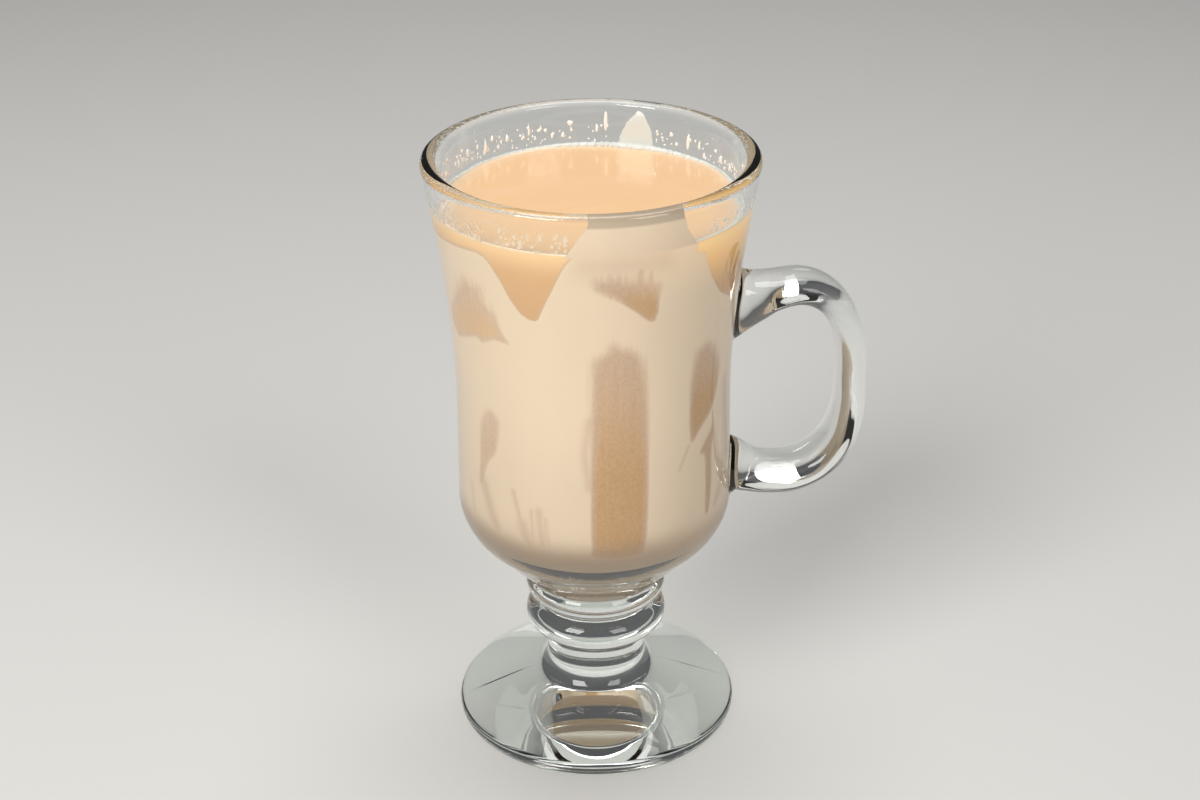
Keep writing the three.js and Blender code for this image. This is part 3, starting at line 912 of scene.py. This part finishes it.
def cream_coat(size):
    """The cream on the wall: its outer skin lies in the glass and sinks behind the coffee at each window."""
    grid = wall_grid(size)
    turn, _, height = grid[:3]
    rows, columns = turn.shape
    depth, *looks = wall_pattern(size, turn, height / MM)
    sink = COAT_SINK * np.clip(depth / COAT_SINK_RUN, 0, 1) ** COAT_SINK_POWER
    outer = offset_wall(grid, CREAM_REACH - sink)
    inner = offset_wall(grid, np.full(turn.shape, -size.coat))
    deepest = depth.ravel()[ring_quads(rows, columns)].min(axis=1).reshape(rows - 1, columns)
    kept = deepest < COAT_HOLE_DEPTH
    poles = [[0, 0, size.cavity_floor - CREAM_REACH], [0, 0, size.cavity_floor + size.coat]]
    vertices = np.concatenate([outer.reshape(-1, 3), inner.reshape(-1, 3), poles])
    ring, count = np.arange(columns), rows * columns
    fans = np.concatenate([fan(2 * count, ring), fan(2 * count + 1, count + ring, turned=True)])
    values = [np.concatenate([v.ravel(), v.ravel(), v[0, :1], v[0, :1]]) for v in looks]
    return vertices, coat_quads(kept, rows, columns), fans, values


def only_used(vertices, values, *faces):
    """Drops the points that no face uses and renumbers the rest."""
    used = np.unique(np.concatenate([block.ravel() for block in faces]))
    place = np.zeros(len(vertices), int)
    place[used] = np.arange(used.size)
    return vertices[used], [value[used] for value in values], [place[block] for block in faces]


def coffee_fill(size):
    """The drink: it stands behind the cream, comes out to the glass at each window and ends at a calm top.

    The top is the upper ring drawn in to the axis, lifted at its edge by a meniscus that dies away inwards.
    """
    grid = wall_grid(size)
    turn, _, height = grid[:3]
    depth, *looks = wall_pattern(size, turn, height / MM)
    behind = size.coat - LIQUID_OVERLAP + COFFEE_REACH
    hidden = 1 - smoothstep(COFFEE_RISE_FROM, COFFEE_RISE_TO, depth)
    wall = offset_wall(grid, COFFEE_REACH - behind * hidden)
    share = (np.linspace(1, 0, TOP_ROWS + 1)[1:-1] ** TOP_CROWDING)[:, None, None]
    top = wall[-1] * share
    shore = cavity_radius(size, size.level) - np.linalg.norm(top[..., :2], axis=-1)
    top[..., 2] = size.level + MENISCUS * np.exp(-shore / MENISCUS_RUN)
    wall[-1, :, 2] = size.level + MENISCUS
    points = np.concatenate([wall, top])
    vertices, quads, fans = capped(points, [0, 0, grid[2][0, 0]], [0, 0, size.level])
    still = np.zeros(top.shape[:2])
    edge = np.concatenate([np.zeros(turn.shape), np.exp(-shore / MENISCUS_RUN)])
    edge[turn.shape[0] - 1] = 1
    fields = [np.concatenate([field, still + fill]) for field, fill in zip(looks, (FARTHEST, 0, 0, 0, 0))]
    values = [np.concatenate([field.ravel(), field[0, :1], field[-1, :1]]) for field in (*fields, edge)]
    top_quads = np.arange(len(quads)) >= (turn.shape[0] - 1) * turn.shape[1]
    top_fans = np.arange(len(fans)) >= turn.shape[1]
    return vertices, quads, fans, values, np.concatenate([top_quads, top_fans])


def wavering(turn, low, high, seed):
    """Noise round the axis: a sum of waves of whole numbers of turns, of about 1 at its strongest."""
    draw = np.random.default_rng(seed)
    waves = np.arange(low, high)
    phase = draw.uniform(0, 2 * np.pi, waves.size)
    weight = draw.uniform(0.3, 1, waves.size)
    total = (weight * np.cos(turn[:, None] * waves + phase)).sum(axis=1)
    return total / np.sqrt((weight**2).sum())


def foam_ring(size):
    """An oval bead round the wall at the level: its width and height waver, and both swell at the splash."""
    turn = np.linspace(-np.pi, np.pi, FOAM_COLUMNS, endpoint=False)
    away = np.degrees(np.angle(np.exp(1j * (turn - np.radians(FOAM_FULL_TURN)))))
    full = np.exp(-((away / FOAM_FULL_SPREAD) ** 2))
    lumps = (FOAM_LUMPS + FOAM_FULL_LUMPS * full) * wavering(turn, *FOAM_LUMP_WAVES)
    width = 1 + FOAM_WIDTH_WAVER * wavering(turn, *FOAM_WIDTH_WAVES) + FOAM_FULL_WIDTH * full + lumps
    height = 1 + FOAM_HEIGHT_WAVER * wavering(turn, *FOAM_HEIGHT_WAVES) + FOAM_FULL_HEIGHT * full
    width = np.maximum(size.foam_width * width, FOAM_LEAST_WIDTH)
    height = np.maximum(size.foam_height * (height + FOAM_LUMP_HEIGHT * lumps), FOAM_LEAST_HEIGHT)
    angle = 2 * np.pi * np.arange(FOAM_SIDES)[:, None] / FOAM_SIDES
    middle = cavity_radius(size, size.level) + COFFEE_REACH - width / 2
    radius = middle + width / 2 * np.cos(angle)
    points = around(turn, radius, size.level + MENISCUS / 2 + height * np.sin(angle))
    return points.reshape(-1, 3), ring_quads(FOAM_SIDES, FOAM_COLUMNS, closed=True)


def between(ends, share):
    """A share of the way from one end to the other."""
    return ends[0] + (ends[1] - ends[0]) * share


def drops(size):
    """Domes on the bare wall: an oval drawn in ring by ring to its top; long ones are fuller low down."""
    draw = np.random.default_rng(SEED)
    turn, low, high, half_width = [list(column) for column in zip(*DRIPS)]
    for band in SCATTERS:
        turn += list(draw.uniform(*band.turn, band.count))
        middle = between(band.height, draw.beta(*DROP_HEIGHT_CURVE, band.count))
        wide = between(band.half_width, draw.beta(*DROP_WIDTH_CURVE, band.count))
        tall = wide * draw.uniform(*DROP_TALL, band.count)
        low += list(middle - tall)
        high += list(middle + tall)
        half_width += list(wide)
    turn, low, high, half_width = [np.array(v)[:, None, None] for v in (turn, low, high, half_width)]
    angle = -2 * np.pi * np.arange(DROP_SIDES) / DROP_SIDES
    share = np.cos(np.linspace(0, np.pi / 2, DROP_RINGS, endpoint=False))[:, None]
    half_length = (high - low) / 2
    long = np.clip(half_length / half_width - 1, 0, 2) / 2
    up = share * np.sin(angle)
    across = share * np.cos(angle) * (1 - DROP_TAPER * long * up)
    uneven = 1 + DROP_UNEVEN * np.sin(DROP_LOBES * angle + DROP_LOBE_TURN * turn)
    height = np.maximum(size.level / MM + (low + high) / 2 + half_length * up * uneven, size.level / MM)
    dome = np.sqrt(1 - share**2)
    bulge = DROP_BULGE * half_width * dome * (1 - DROP_SAG * long * up)
    radius = cavity_radius(size, height * MM) + CREAM_REACH * (1 - dome) - bulge * MM
    spread = np.degrees(half_width * MM * across * uneven / radius)
    rings = around(np.radians(turn + spread), radius, height * MM)
    middle = size.level / MM + (low + high)[:, 0, 0] / 2
    wall = cavity_radius(size, middle * MM)
    facing = np.radians(turn[:, 0, 0])
    base = around(facing, wall + CREAM_REACH, middle * MM)
    tip = around(facing, wall - DROP_BULGE * half_width[:, 0, 0] * MM, middle * MM)
    one = [capped(*parts) for parts in zip(rings, base, tip)]
    starts = np.cumsum([0] + [len(vertices) for vertices, _, _ in one])
    vertices = np.concatenate([vertices for vertices, _, _ in one])
    quads = np.concatenate([block + start for (_, block, _), start in zip(one, starts)])
    fans = np.concatenate([block + start for (_, _, block), start in zip(one, starts)])
    return vertices, quads, fans


class Shade:
    """A shader socket that takes part in Python expressions; each operator adds one Math node."""

    def __init__(self, tree, socket=None):
        self.tree = tree
        self.socket = socket

    def node(self, kind, settings=None, inputs=None, output=0):
        """Adds a node, sets its settings, then its sockets' values or links, and gives one of its outputs."""
        made = self.tree.nodes.new("ShaderNode" + kind)
        for name, value in (settings or {}).items():
            setattr(made, name, value)
        for key, value in (inputs or {}).items():
            if isinstance(value, Shade):
                self.tree.links.new(value.socket, made.inputs[key])
            else:
                made.inputs[key].default_value = value
        return Shade(self.tree, made.outputs[output] if made.outputs else None)

    def math(self, operation, *values):
        """Adds a Math node on values or other sockets."""
        return self.node("Math", {"operation": operation}, dict(enumerate(values)))

    def __add__(self, other):
        return self.math("ADD", self, other)

    __radd__ = __add__

    def __sub__(self, other):
        return self.math("SUBTRACT", self, other)

    def __rsub__(self, other):
        return self.math("SUBTRACT", other, self)

    def __mul__(self, other):
        return self.math("MULTIPLY", self, other)

    __rmul__ = __mul__


def opaque(shade):
    """A colour with nothing showing through it."""
    return (*shade, 1)


def new_finish(name):
    """An empty material and its node tree as the start of shader expressions."""
    material = bpy.data.materials.new(name)
    material.use_nodes = True
    material.node_tree.nodes.clear()
    return material, Shade(material.node_tree)


def noise(start, scale, detail=2.0, roughness=0.5):
    """Noise on the piece's own coordinates; scale is in waves per metre along each axis."""
    where = start.node("TexCoord", output="Object")
    spread = start.node("Mapping", {"vector_type": "POINT"}, {"Vector": where, "Scale": scale})
    inputs = {"Vector": spread, "Scale": 1.0, "Detail": detail, "Roughness": roughness}
    return start.node("TexNoise", {}, inputs)


def mixed(start, factor, first, second):
    """A blend of two colours."""
    return start.node("Mix", {"data_type": "RGBA"}, {0: factor, MIX_A: first, MIX_B: second}, MIX_RESULT)


def stepped(start, value, low, high):
    """0 below low, 1 above high and an S curve between."""
    return start.node(
        "MapRange", {"interpolation_type": "SMOOTHSTEP"}, {"Value": value, "From Min": low, "From Max": high}
    )


def coordinate(start, axis):
    """The place along one axis of the piece, in metres."""
    where = start.node("TexCoord", output="Object")
    return start.node("SeparateXYZ", {}, {"Vector": where}, axis)


def value_of(start, name):
    """An attribute of the piece's points."""
    return start.node("Attribute", {"attribute_name": name}, output="Fac")


def clear_glass(colours):
    """Clear pressed glass: light of lamps and nearby surfaces passes straight through, and depth tints it."""
    material, start = new_finish("clear pressed glass")
    ripple = noise(start, RIPPLE_WAVES, 1.0)
    bump = start.node("Bump", {}, {"Strength": 0.06, "Distance": 0.4 * MM, "Height": ripple})
    glass = start.node("BsdfPrincipled", {}, {
        "Base Color": opaque(colours.glass), "Roughness": 0.0, "IOR": 1.5, "Transmission Weight": 1.0,
        "Normal": bump,
    })
    through = start.node("BsdfTransparent", {}, {"Color": opaque(colours.glass_light)})
    shadow = start.node("LightPath", output="Is Shadow Ray")
    nearby = start.node("LightPath", output="Is Diffuse Ray")
    lit = start.node("MixShader", {}, {0: shadow, 1: glass, 2: through})
    surface = start.node("MixShader", {}, {0: nearby, 1: lit, 2: through})
    depth = start.node("VolumeAbsorption", {}, {"Color": opaque(colours.glass_depth), "Density": 3.0})
    start.node("OutputMaterial", {}, {"Surface": surface, "Volume": depth})
    return material


def wall_finish(name, colours):
    """Cream and coffee against the glass: cream, then coffee behind thin cream, then clearer coffee.

    Its light and shade are painted: the coffee is painted lighter towards the level, where light from above
    reaches through it, and glows amber just under the level, most at the handle's side; lower down and where
    light from above doesn't reach it is painted darker, and cream and coffee are painted darker towards the
    cavity's floor and on the film's top under the rim.
    """
    material, start = new_finish(name)
    height, aside = coordinate(start, "Z"), coordinate(start, "X")
    streaks = noise(start, STREAK_WAVES, 3.0, 0.6) - 0.5
    grain = noise(start, GRAIN_WAVES, 1.0) - 0.5
    clouds = noise(start, CLOUD_WAVES, 2.0) - 0.5
    ragged, deep = value_of(start, "ragged"), value_of(start, "deep")
    edge = value_of(start, "opening") + streaks * ragged * STREAK_REACH
    # Painted shade: coffee lower down, and in windows that light from above doesn't reach, takes on its
    # shaded colour
    glow = stepped(start, height, GLOW_FROM, GLOW_TO)
    depth = start.math("MAXIMUM", deep, SHADED_SHARE - SHADED_SHARE * glow)
    # Painted light: lighter coffee near the level
    lit_band = stepped(start, height, LIT_BAND_FROM, LIT_BAND_TO)
    lit = mixed(start, lit_band, opaque(colours.coffee), opaque(colours.lit_coffee))
    coffee = mixed(start, depth, lit, opaque(colours.shaded_coffee))
    veiled = mixed(start, value_of(start, "veil"), coffee, opaque(colours.thin_cream_and_shade))
    clearing = stepped(start, edge, -1.0, 1.0)
    ground = mixed(start, clearing, opaque(colours.cream), veiled)
    # Thin cream, and painted shade towards the cavity's floor and on the film near the level
    greyed = mixed(start, value_of(start, "thin"), ground, opaque(colours.thin_cream_and_shade))
    # Painted shade by height
    shaded = sum(stepped(start, height, low, high) * darkening for low, high, darkening in SHADES)
    mottled = clearing * (grain * deep * GRAIN_SHADE + streaks * ragged * STREAK_SHADE)
    bright = 1.0 + clouds * CLOUD_SHADE + mottled + lit_band * LIT_BAND_LIGHT - shaded
    shade = start.node("HueSaturation", {}, {"Color": greyed, "Value": bright})
    # Painted glow: amber light emitted under the level at the handle's side, weaker through the cream
    under = 1.0 - stepped(start, height, DRINK_HIGH.z, DRINK_HIGH.z + AMBER_END)
    let_in = under * stepped(start, height, AMBER_FROM, AMBER_TO) * stepped(start, aside, 0.0, AMBER_RUN)
    let_out = AMBER_THROUGH_CREAM + (1 - AMBER_THROUGH_CREAM) * clearing
    amber = mixed(start, let_in * let_out, BLACK, opaque(colours.amber))
    surface = start.node("BsdfPrincipled", {}, {
        "Base Color": shade, "Roughness": 0.55, "Specular IOR Level": 0.12,
        "Emission Color": amber, "Emission Strength": AMBER_STRENGTH,
    })
    start.node("OutputMaterial", {}, {"Surface": surface})
    return material


def coffee_top_finish(colours):
    """The drink's surface: wet and glossy, with faint swirls of milk and pale foam towards its edge."""
    material, start = new_finish("milky coffee surface")
    swirl = noise(start, SWIRL_WAVES, 4.0, 0.6) - 0.5
    shore = value_of(start, "shore") * noise(start, FROTH_WAVES, 3.0, 0.7) * SHORE_FROTH
    stirred = start.math("ABSOLUTE", swirl * SWIRL_CREAM)
    milky = mixed(start, stirred, opaque(colours.surface), opaque(colours.cream))
    shade = mixed(start, start.math("MINIMUM", shore, SHORE_MOST), milky, opaque(colours.foam))
    height = start.node("Bump", {}, {"Strength": 0.12, "Distance": 0.3 * MM, "Height": swirl})
    surface = start.node("BsdfPrincipled", {}, {
        "Base Color": shade, "Roughness": 0.12, "IOR": 1.36, "Normal": height,
    })
    start.node("OutputMaterial", {}, {"Surface": surface})
    return material


def froth_finish(name, front, back, scale):
    """Wet pale cream with fine bubbles; painted light gives it its front colour on the key light's side, its
    back colour away.
    """
    material, start = new_finish(name)
    bubbles = noise(start, (scale, scale, scale), 2.0, 0.6)
    # Painted light: the froth takes its front colour on the key light's side and its back colour away from it
    away = stepped(start, coordinate(start, "X") + coordinate(start, "Y"), FROTH_FROM, FROTH_TO)
    shade = mixed(start, away, opaque(front), opaque(back))
    height = start.node("Bump", {}, {"Strength": 0.25, "Distance": 0.2 * MM, "Height": bubbles})
    surface = start.node("BsdfPrincipled", {}, {
        "Base Color": shade, "Roughness": 0.32, "Specular IOR Level": 0.4, "Normal": height,
    })
    start.node("OutputMaterial", {}, {"Surface": surface})
    return material


def floor_finish(colours):
    """A plain pale matt floor with a very faint unevenness."""
    material, start = new_finish("pale floor")
    cloud = noise(start, FLOOR_WAVES, 3.0)
    tone = tuple(FLOOR_MOTTLE * channel for channel in colours.floor)
    shade = mixed(start, cloud, opaque(tone), opaque(colours.floor))
    surface = start.node("BsdfPrincipled", {}, {
        "Base Color": shade, "Roughness": 0.6, "Specular IOR Level": 0.25,
    })
    start.node("OutputMaterial", {}, {"Surface": surface})
    return material


class MUG_OT_glass(bpy.types.Operator):
    """The mug: bowl, stem, foot and handle in one piece of glass."""

    bl_idname = "mug.glass"
    bl_label = "Glass"

    def execute(self, context):
        body = new_mesh("mug body", *mug_body(context.scene.mug_sizes))
        handle = new_mesh("handle bar", *handle_bar())
        glass = joined("glass", body, handle)
        show(glass, [clear_glass(context.scene.mug_colours)], ["glass_mug"])
        return {"FINISHED"}


class MUG_OT_coffee(bpy.types.Operator):
    """The drink up to its level, touching the glass wherever the cream is open."""

    bl_idname = "mug.coffee"
    bl_label = "Coffee"

    def execute(self, context):
        colours = context.scene.mug_colours
        vertices, quads, fans, values, top = coffee_fill(context.scene.mug_sizes)
        mesh = new_mesh("coffee_drink", vertices, quads, fans)
        add_values(mesh, **dict(zip((*LOOKS, "shore"), values)))
        mesh.polygons.foreach_set("material_index", top.astype(np.int32))
        finishes = [wall_finish("milky coffee against glass", colours), coffee_top_finish(colours)]
        show(mesh, finishes, ["coffee"])
        return {"FINISHED"}


class MUG_OT_cream(bpy.types.Operator):
    """The cream: the coat on the wall, and the films of it above the level."""

    bl_idname = "mug.cream"
    bl_label = "Cream"

    def execute(self, context):
        size, colours = context.scene.mug_sizes, context.scene.mug_colours
        vertices, quads, fans, values = cream_coat(size)
        vertices, values, (quads, fans) = only_used(vertices, values, quads, fans)
        blocks = [quads, fans]
        for left, right in ((TONGUE_LEFT, TONGUE_RIGHT), (SPLASH_LEFT, SPLASH_RIGHT)):
            film, film_quads, film_fans = cream_film(size, left, right, COFFEE_REACH)
            blocks += [film_quads + len(vertices), film_fans + len(vertices)]
            vertices = np.concatenate([vertices, film])
            rise = (film[:, 2] - film[:, 2].min()) / np.ptp(film[:, 2])
            closed = np.zeros((len(LOOKS), len(film)))
            closed[LOOKS.index("opening")] = -FARTHEST
            # Painted shade: the film greys towards the level
            closed[LOOKS.index("thin")] = FILM_LEVEL_SHADE * (1 - rise)
            values = [np.concatenate(pair) for pair in zip(values, closed)]
        mesh = new_mesh("cream", vertices, *blocks)
        add_values(mesh, **dict(zip(LOOKS, values)))
        splash = np.arange(len(mesh.polygons)) >= sum(len(block) for block in blocks[:-2])
        mesh.polygons.foreach_set("material_index", splash.astype(np.int32))
        finishes = [
            wall_finish("cream against glass", colours),
            froth_finish("splash of cream", colours.cream, colours.foam, SPLASH_BUBBLES),
        ]
        show(mesh, finishes, ["cream_coat"])
        return {"FINISHED"}


class MUG_OT_foam(bpy.types.Operator):
    """The bead of foam where the drink meets the wall."""

    bl_idname = "mug.foam"
    bl_label = "Foam"

    def execute(self, context):
        colours = context.scene.mug_colours
        mesh = new_mesh("foam_ring", *foam_ring(context.scene.mug_sizes))
        show(mesh, [froth_finish("foam", colours.cream, colours.foam, FOAM_BUBBLES)])
        return {"FINISHED"}


class MUG_OT_drops(bpy.types.Operator):
    """Drops and runs of cream on the bare wall above the level."""

    bl_idname = "mug.drops"
    bl_label = "Drops"

    def execute(self, context):
        colours = context.scene.mug_colours
        mesh = new_mesh("wall_drops", *drops(context.scene.mug_sizes))
        finish = froth_finish("drops of cream", colours.cream, colours.drops, DROP_BUBBLES)
        show(mesh, [finish])
        return {"FINISHED"}


def soft_light(name, lamp, power):
    """A rectangular lamp, turned to face the mug."""
    data = bpy.data.lights.new(name, "AREA")
    data.shape = "RECTANGLE"
    data.size, data.size_y = lamp.size
    data.energy = power
    data.color = lamp.tint
    light = bpy.data.objects.new(name, data)
    light.location = lamp.place
    light.rotation_euler = (Vector(LIGHT_AIM) - Vector(lamp.place)).to_track_quat("-Z", "Y").to_euler()
    bpy.context.scene.collection.objects.link(light)


def floor_grid():
    """A flat square grid of quads just under the foot."""
    side = np.linspace(-FLOOR_HALF, FLOOR_HALF, FLOOR_CELLS + 1)
    x, y = np.meshgrid(side, side)
    points = np.stack([x, y, np.full(x.shape, -FLOOR_DROP)], axis=-1).reshape(-1, 3)
    row = FLOOR_CELLS + 1
    corner = (np.arange(FLOOR_CELLS)[:, None] * row + np.arange(FLOOR_CELLS)).ravel()
    return points, np.stack([corner, corner + 1, corner + row + 1, corner + row], axis=-1)


class MUG_OT_stage(bpy.types.Operator):
    """Pale floor, soft lights and the camera."""

    bl_idname = "mug.stage"
    bl_label = "Stage"

    def execute(self, context):
        scene, studio = context.scene, context.scene.mug_studio
        mesh = new_mesh("floor", *floor_grid())
        mesh.materials.append(floor_finish(scene.mug_colours))
        floor = bpy.data.objects.new("floor", mesh)
        scene.collection.objects.link(floor)
        for name, lamp in LAMPS.items():
            soft_light(name, lamp, getattr(studio, name))
        world = bpy.data.worlds.new("room")
        world.use_nodes = True
        room = world.node_tree.nodes["Background"]
        room.inputs["Color"].default_value = ROOM_TINT
        room.inputs["Strength"].default_value = studio.room
        scene.world = world
        scene.view_settings.view_transform = "Standard"
        self.place_camera(scene)
        return {"FINISHED"}

    @staticmethod
    def place_camera(scene):
        """Turns the camera about the mug, then moves it back and up and aims it."""
        data = bpy.data.cameras.new("camera")
        data.sensor_fit = "HORIZONTAL"
        data.sensor_width = SENSOR_WIDTH
        data.lens = CAMERA_LENS
        data.clip_start = CAMERA_NEAR
        camera = bpy.data.objects.new("camera", data)
        turn = Matrix.Rotation(math.radians(-CAMERA_TURN), 4, "Z")
        place = Matrix.Translation((0, -CAMERA_DISTANCE, CAMERA_HEIGHT))
        yaw = Matrix.Rotation(math.radians(-CAMERA_YAW), 4, "Z")
        pitch = Matrix.Rotation(math.radians(90 - CAMERA_PITCH), 4, "X")
        roll = Matrix.Rotation(math.radians(CAMERA_ROLL), 4, "Z")
        camera.matrix_world = turn @ place @ yaw @ pitch @ roll
        scene.collection.objects.link(camera)
        scene.camera = camera


class MUG_PT_sidebar(bpy.types.Panel):
    """Lists the pieces and the settings that make them."""

    bl_idname = "MUG_PT_sidebar"
    bl_label = "Mug of milky coffee"
    bl_space_type = "VIEW_3D"
    bl_region_type = "UI"
    bl_category = "Mug"

    def draw(self, context):
        for operator in OPERATORS:
            self.layout.operator(operator.bl_idname)
        for name in GROUPS:
            group = getattr(context.scene, name)
            for key in group.bl_rna.properties.keys():
                if key not in ("rna_type", "name"):
                    self.layout.prop(group, key)


OPERATORS = (MUG_OT_stage, MUG_OT_glass, MUG_OT_coffee, MUG_OT_cream, MUG_OT_foam, MUG_OT_drops)
GROUPS = {"mug_sizes": MugSizes, "mug_colours": MugColours, "mug_studio": MugStudio}


def register():
    for item in (*GROUPS.values(), *OPERATORS, MUG_PT_sidebar):
        bpy.utils.register_class(item)
    for name, group in GROUPS.items():
        setattr(bpy.types.Scene, name, bpy.props.PointerProperty(type=group))


def unregister():
    for name in GROUPS:
        delattr(bpy.types.Scene, name)
    for item in (MUG_PT_sidebar, *reversed(OPERATORS), *reversed(GROUPS.values())):
        bpy.utils.unregister_class(item)


def main():
    register()
    bpy.ops.mug.stage()
    bpy.ops.mug.glass()
    bpy.ops.mug.coffee()
    bpy.ops.mug.cream()
    bpy.ops.mug.foam()
    bpy.ops.mug.drops()


if __name__ == "__main__":
    main()
